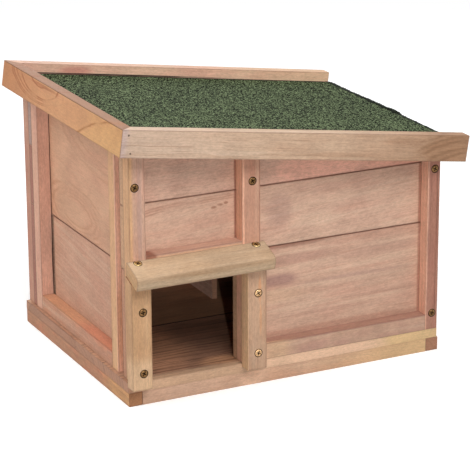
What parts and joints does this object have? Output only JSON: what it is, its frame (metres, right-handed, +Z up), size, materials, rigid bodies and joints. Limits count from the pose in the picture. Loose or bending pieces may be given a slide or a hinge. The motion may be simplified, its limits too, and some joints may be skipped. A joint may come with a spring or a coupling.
{
  "type": "hedgehog house",
  "caption": "Wooden hedgehog house with framed board walls on skids, a canopied entry, an inner partition and a hinged lean-to roof with green felt.",
  "frame": {"origin": "on the ground, under the middle of the overall outline", "axes": "+Z up, -Y out of the entry, +X towards the low, hinged side of the roof"},
  "size_m": [0.493, 0.4086, 0.3683],
  "materials": {
    "pine": "planed softwood, clear glaze",
    "pine_red": "planed softwood, reddish glaze",
    "pine_pale": "planed softwood, yellowish glaze",
    "pine_grey": "planed softwood, greyish glaze",
    "pine_orange": "planed softwood, strong orange grain",
    "felt": "green mineral granules on bitumen felt",
    "brass": "yellow passivated",
    "zinc": "zinc plated"
  },
  "bodies": {
    "house": {"left_skid": "pine", "right_skid": "pine", "base_front_rail": "pine", "base_back_rail": "pine", "floor_front_board": "pine_pale", "floor_rear_board": "pine_pale", "front_left_post": "pine", "entry_post": "pine", "front_right_post": "pine", "entry_lintel": "pine_red", "front_bottom_rail": "pine_red", "front_lower_board": "pine", "front_middle_board": "pine", "front_top_board": "pine", "left_front_stile": "pine_pale", "left_rear_stile": "pine", "left_bottom_rail": "pine_red", "left_lower_board": "pine", "left_upper_board": "pine", "right_front_stile": "pine_pale", "right_rear_stile": "pine", "right_bottom_rail": "pine_red", "right_top_rail": "pine", "right_lower_board": "pine", "right_upper_board": "pine", "back_left_post": "pine", "back_right_post": "pine", "back_bottom_rail": "pine_red", "back_lower_board": "pine", "back_middle_board": "pine", "back_top_board": "pine", "partition": "pine", "left_jamb": "pine_pale", "right_jamb": "pine_pale", "canopy": "pine_pale", "jamb_screws": "brass", "canopy_screws": "brass", "frame_screws": "brass", "hinge_wall_leaves": "zinc", "hinge_wall_screws": "zinc", "hinge_pins": "zinc"},
    "lid": {"roof_panel": "pine", "roof_felt": "felt", "front_trim": "pine_grey", "back_trim": "pine_grey", "left_trim": "pine_orange", "hinge_lid_leaves": "zinc", "hinge_lid_screws": "zinc"}
  },
  "joints": [
    {"name": "roof_hinge", "type": "hinge", "parent": "house", "child": "lid", "pos_m": [0.22067, 0.00513, 0.27495], "axis": [0, 1, 0], "range_deg": [0, 85]}
  ]
}
